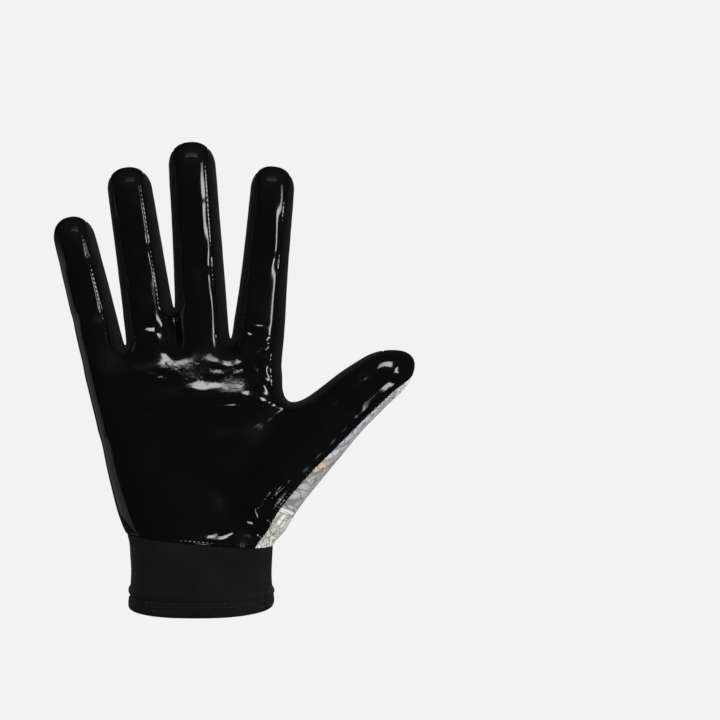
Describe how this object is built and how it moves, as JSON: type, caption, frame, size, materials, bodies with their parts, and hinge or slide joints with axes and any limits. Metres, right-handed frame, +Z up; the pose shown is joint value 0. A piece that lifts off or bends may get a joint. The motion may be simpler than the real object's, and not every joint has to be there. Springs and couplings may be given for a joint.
{
  "type": "football receiver glove",
  "caption": "Right-hand sports glove in its worn form, with a tacky gloss palm, printed knit back, knit finger sides and a knit cuff.",
  "frame": {"origin": "centre of the wrist opening, in the plane of the cuff's lower rim", "axes": "+Z up the hand to the fingertips, -Y out of the palm, +X toward the thumb"},
  "size_m": [0.1756, 0.0491, 0.2281],
  "materials": {
    "palm_film": "wet gloss grip film on cloth",
    "printed_knit": "matte knit with a printed pattern",
    "side_knit": "matte knit",
    "cuff_knit": "matte knit"
  },
  "bodies": {
    "root": {"palm_panel": "palm_film", "back_panel": "printed_knit", "fourchette_little_ring": "side_knit", "fourchette_ring_middle": "side_knit", "fourchette_middle_index": "side_knit", "thumb_gusset": "side_knit", "cuff_band": "cuff_knit", "cuff_hem": "cuff_knit"}
  },
  "joints": []
}
